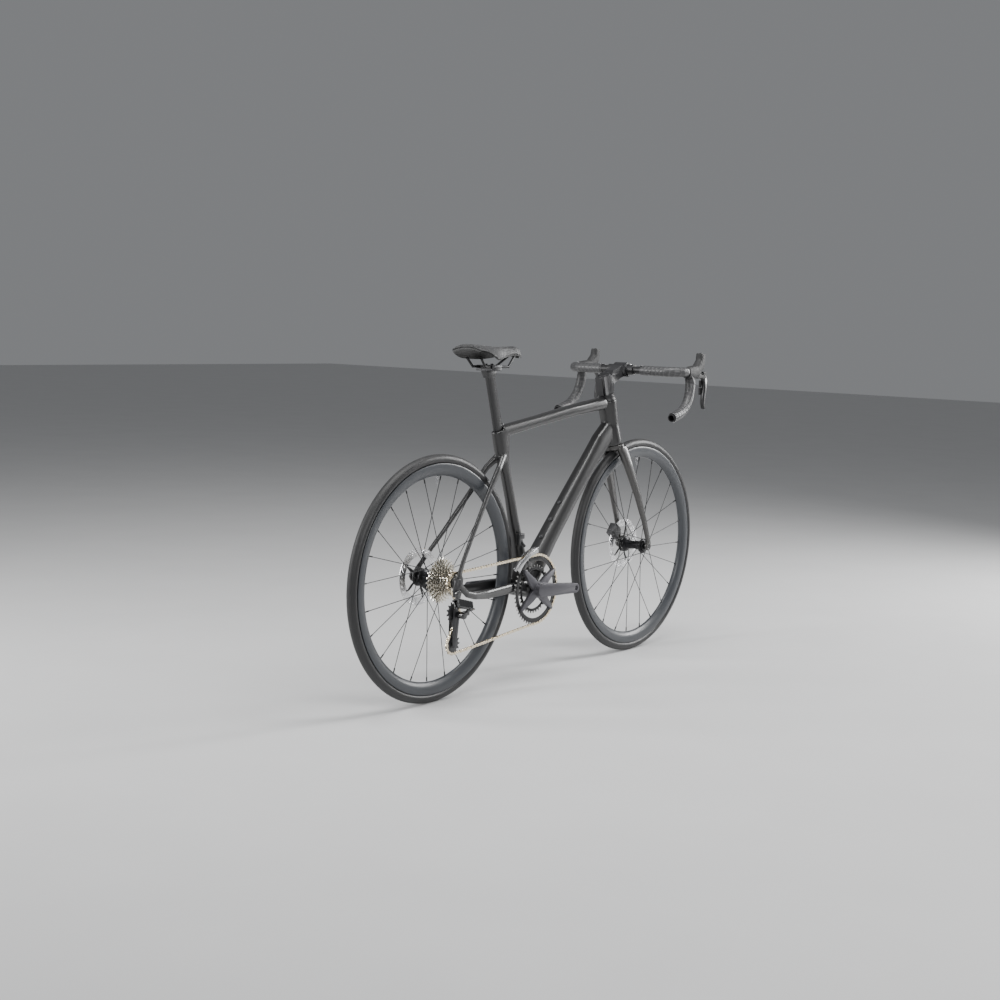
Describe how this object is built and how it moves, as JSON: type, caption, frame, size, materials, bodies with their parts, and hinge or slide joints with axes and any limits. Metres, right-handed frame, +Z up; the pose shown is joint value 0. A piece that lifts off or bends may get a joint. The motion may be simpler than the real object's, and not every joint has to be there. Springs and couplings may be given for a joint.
{
  "type": "road_bicycle",
  "caption": "Drop-bar road bicycle with disc brakes: steering fork, spinning wheels, turning cranks, working levers, switches, derailleurs and sliding seatpost",
  "frame": {"origin": "centre of the bounding box on the floor plane", "axes": "+X forward, +Y to the rider's left, +Z up"},
  "size_m": [1.673, 0.4544, 0.975],
  "materials": {
    "frame_paint": "gloss",
    "fork_paint": "satin",
    "rim_carbon": "satin",
    "tyre_rubber": "satin",
    "spoke_steel": "satin",
    "hub_shell": "satin",
    "rotor_steel": "satin",
    "black_aluminium": "satin",
    "bright_steel": "gloss",
    "crank_paint": "satin",
    "ring_aluminium": "satin",
    "cassette_steel": "satin",
    "chain_steel": "satin",
    "cage_steel": "satin",
    "bar_paint": "satin",
    "tape": "matte",
    "hood_rubber": "matte",
    "lever_paint": "satin",
    "switch_plastic": "matte",
    "pad_compound": "matte",
    "saddle_cover": "matte",
    "saddle_shell": "matte",
    "mech_body": "matte",
    "bearing_steel": "satin"
  },
  "bodies": {
    "frame_body": {"frame": "frame_paint", "bottom_bracket_cups": "black_aluminium", "headset_bearings": "bearing_steel", "bottle_bosses": "bright_steel", "derailleur_hanger": "black_aluminium", "rear_thru_axle": "black_aluminium", "seat_clamp_wedge": "black_aluminium", "rear_brake_caliper": "black_aluminium", "chain": "chain_steel", "front_derailleur_body": "mech_body"},
    "seatpost_body": {"seatpost": "bar_paint", "saddle_clamp": "black_aluminium", "saddle_rails": "bearing_steel", "saddle_base": "saddle_shell", "saddle_pad": "saddle_cover"},
    "steering_body": {"fork": "fork_paint", "front_thru_axle": "black_aluminium", "headset_spacers": "black_aluminium", "stem": "bar_paint", "stem_faceplate": "bar_paint", "stem_hardware": "bright_steel", "handlebar": "bar_paint", "bar_tape": "tape", "lever_hoods": "hood_rubber", "front_brake_caliper": "black_aluminium"},
    "front_wheel": {"front_tyre": "tyre_rubber", "front_rim": "rim_carbon", "front_spokes": "spoke_steel", "front_hub": "hub_shell", "front_rotor": "rotor_steel"},
    "rear_wheel": {"rear_tyre": "tyre_rubber", "rear_rim": "rim_carbon", "rear_spokes": "spoke_steel", "rear_hub": "hub_shell", "rear_rotor": "rotor_steel"},
    "crankset": {"right_crank": "crank_paint", "chainrings": "ring_aluminium", "left_crank": "crank_paint"},
    "right_brake_lever_body": {"right_brake_lever": "lever_paint"},
    "left_brake_lever_body": {"left_brake_lever": "lever_paint"},
    "right_upshift_switch_body": {"right_upshift_switch": "switch_plastic"},
    "right_downshift_switch_body": {"right_downshift_switch": "switch_plastic"},
    "left_upshift_switch_body": {"left_upshift_switch": "switch_plastic"},
    "left_downshift_switch_body": {"left_downshift_switch": "switch_plastic"},
    "right_hood_button_body": {"right_hood_button": "switch_plastic"},
    "left_hood_button_body": {"left_hood_button": "switch_plastic"},
    "front_outer_pad_body": {"front_outer_pad": "pad_compound"},
    "front_inner_pad_body": {"front_inner_pad": "pad_compound"},
    "rear_outer_pad_body": {"rear_outer_pad": "pad_compound"},
    "rear_inner_pad_body": {"rear_inner_pad": "pad_compound"},
    "cassette_body": {"cassette": "cassette_steel"},
    "rd_base_body": {"rd_base": "mech_body"},
    "rd_outer_link_body": {"rd_outer_link": "black_aluminium"},
    "rd_inner_link_body": {"rd_inner_link": "black_aluminium"},
    "rd_p_knuckle_body": {"rd_p_knuckle": "mech_body"},
    "rd_cage_body": {"rd_cage": "black_aluminium"},
    "guide_pulley_body": {"guide_pulley": "mech_body"},
    "tension_pulley_body": {"tension_pulley": "mech_body"},
    "fd_link_body": {"fd_link": "black_aluminium"},
    "fd_cage_body": {"fd_cage": "cage_steel"}
  },
  "joints": [
    {"name": "steering", "type": "hinge", "parent": "frame_body", "child": "steering_body", "pos_m": [0.44957, 0, 0.34], "axis": [-0.284, 0, 0.9588], "range_deg": [-50, 50]},
    {"name": "front_wheel_spin", "type": "hinge", "parent": "steering_body", "child": "front_wheel", "pos_m": [0.4965, 0, 0.34], "axis": [0, 1, 0], "continuous": true},
    {"name": "rear_wheel_spin", "type": "hinge", "parent": "frame_body", "child": "rear_wheel", "pos_m": [-0.4965, 0, 0.34], "axis": [0, 1, 0], "continuous": true},
    {"name": "crank_spin", "type": "hinge", "parent": "frame_body", "child": "crankset", "pos_m": [-0.091, 0, 0.27], "axis": [0, 1, 0], "continuous": true, "deforming": ["chain"]},
    {"name": "cassette_spin", "type": "hinge", "parent": "frame_body", "child": "cassette_body", "pos_m": [-0.4965, -0.047, 0.34], "axis": [0, 1, 0], "continuous": true},
    {"name": "rd_b_pivot", "type": "hinge", "parent": "frame_body", "child": "rd_base_body", "pos_m": [-0.5035, -0.0851, 0.311], "axis": [0, 1, 0], "range_deg": [0, 12], "stiffness_Nm_per_rad": 2},
    {"name": "rd_outer_link_swing", "type": "hinge", "parent": "rd_base_body", "child": "rd_outer_link_body", "pos_m": [-0.50635, -0.09598, 0.28708], "axis": [0.2346, 0.4226, 0.8754], "range_deg": [0, 54]},
    {"name": "rd_inner_link_swing", "type": "hinge", "parent": "rd_base_body", "child": "rd_inner_link_body", "pos_m": [-0.50503, -0.08357, 0.28073], "axis": [0.2346, 0.4226, 0.8754], "range_deg": [0, 54]},
    {"name": "rd_knuckle_swing", "type": "hinge", "parent": "rd_outer_link_body", "child": "rd_p_knuckle_body", "pos_m": [-0.46184, -0.10465, 0.27934], "axis": [0.2346, 0.4226, 0.8754], "range_deg": [-54, 0]},
    {"name": "rd_cage_swing", "type": "hinge", "parent": "rd_p_knuckle_body", "child": "rd_cage_body", "pos_m": [-0.4795, -0.07, 0.25], "axis": [0, 1, 0], "range_deg": [-18, 30], "stiffness_Nm_per_rad": 0.6},
    {"name": "guide_pulley_spin", "type": "hinge", "parent": "rd_cage_body", "child": "guide_pulley_body", "pos_m": [-0.4895, -0.0646, 0.258], "axis": [0, 1, 0], "continuous": true},
    {"name": "tension_pulley_spin", "type": "hinge", "parent": "rd_cage_body", "child": "tension_pulley_body", "pos_m": [-0.4885, -0.0646, 0.169], "axis": [0, 1, 0], "continuous": true},
    {"name": "fd_link_swing", "type": "hinge", "parent": "frame_body", "child": "fd_link_body", "pos_m": [-0.143, -0.028, 0.412], "axis": [1, 0, 0], "range_deg": [0, 28]},
    {"name": "fd_cage_swing", "type": "hinge", "parent": "fd_link_body", "child": "fd_cage_body", "pos_m": [-0.137, -0.037, 0.398], "axis": [1, 0, 0], "range_deg": [-28, 0]},
    {"name": "right_brake_squeeze", "type": "hinge", "parent": "steering_body", "child": "right_brake_lever_body", "pos_m": [0.543, -0.2, 0.889], "axis": [0, 1, 0], "range_deg": [0, 22], "stiffness_Nm_per_rad": 1.5},
    {"name": "right_upshift_press", "type": "hinge", "parent": "right_brake_lever_body", "child": "right_upshift_switch_body", "pos_m": [0.5485, -0.1931, 0.8635], "axis": [0, 0, 1], "range_deg": [-4, 0], "stiffness_Nm_per_rad": 1},
    {"name": "right_downshift_press", "type": "hinge", "parent": "right_brake_lever_body", "child": "right_downshift_switch_body", "pos_m": [0.5475, -0.1931, 0.84], "axis": [0, 0, 1], "range_deg": [-4, 0], "stiffness_Nm_per_rad": 1},
    {"name": "right_hood_button_press", "type": "slide", "parent": "steering_body", "child": "right_hood_button_body", "axis": [0, 0, -1], "range_m": [0, 0.0015], "stiffness_N_per_m": 1500},
    {"name": "left_brake_squeeze", "type": "hinge", "parent": "steering_body", "child": "left_brake_lever_body", "pos_m": [0.543, 0.2, 0.889], "axis": [0, 1, 0], "range_deg": [0, 22], "stiffness_Nm_per_rad": 1.5},
    {"name": "left_upshift_press", "type": "hinge", "parent": "left_brake_lever_body", "child": "left_upshift_switch_body", "pos_m": [0.5485, 0.1931, 0.8635], "axis": [0, 0, 1], "range_deg": [0, 4], "stiffness_Nm_per_rad": 1},
    {"name": "left_downshift_press", "type": "hinge", "parent": "left_brake_lever_body", "child": "left_downshift_switch_body", "pos_m": [0.5475, 0.1931, 0.84], "axis": [0, 0, 1], "range_deg": [0, 4], "stiffness_Nm_per_rad": 1},
    {"name": "left_hood_button_press", "type": "slide", "parent": "steering_body", "child": "left_hood_button_body", "axis": [0, 0, -1], "range_m": [0, 0.0015], "stiffness_N_per_m": 1500},
    {"name": "front_outer_pad_slide", "type": "slide", "parent": "steering_body", "child": "front_outer_pad_body", "axis": [0, -1, 0], "range_m": [0, 0.0004]},
    {"name": "front_inner_pad_slide", "type": "slide", "parent": "steering_body", "child": "front_inner_pad_body", "axis": [0, 1, 0], "range_m": [0, 0.0004]},
    {"name": "rear_outer_pad_slide", "type": "slide", "parent": "frame_body", "child": "rear_outer_pad_body", "axis": [0, -1, 0], "range_m": [0, 0.0004]},
    {"name": "rear_inner_pad_slide", "type": "slide", "parent": "frame_body", "child": "rear_inner_pad_body", "axis": [0, 1, 0], "range_m": [0, 0.0004]},
    {"name": "seatpost_slide", "type": "slide", "parent": "frame_body", "child": "seatpost_body", "axis": [-0.2823, 0, 0.9593], "range_m": [-0.03, 0.02]}
  ],
  "couplings": [
    {"joint": "cassette_spin", "follows": "crank_spin", "ratio": 4.5455},
    {"joint": "guide_pulley_spin", "follows": "crank_spin", "ratio": -3.8462},
    {"joint": "tension_pulley_spin", "follows": "crank_spin", "ratio": 3.8462},
    {"joint": "rd_inner_link_swing", "follows": "rd_outer_link_swing", "ratio": 1},
    {"joint": "rd_knuckle_swing", "follows": "rd_outer_link_swing", "ratio": -1},
    {"joint": "fd_cage_swing", "follows": "fd_link_swing", "ratio": -1},
    {"joint": "front_outer_pad_slide", "follows": "left_brake_squeeze", "m_per_rad": 0.001},
    {"joint": "front_inner_pad_slide", "follows": "left_brake_squeeze", "m_per_rad": 0.001},
    {"joint": "rear_outer_pad_slide", "follows": "right_brake_squeeze", "m_per_rad": 0.001},
    {"joint": "rear_inner_pad_slide", "follows": "right_brake_squeeze", "m_per_rad": 0.001}
  ]
}
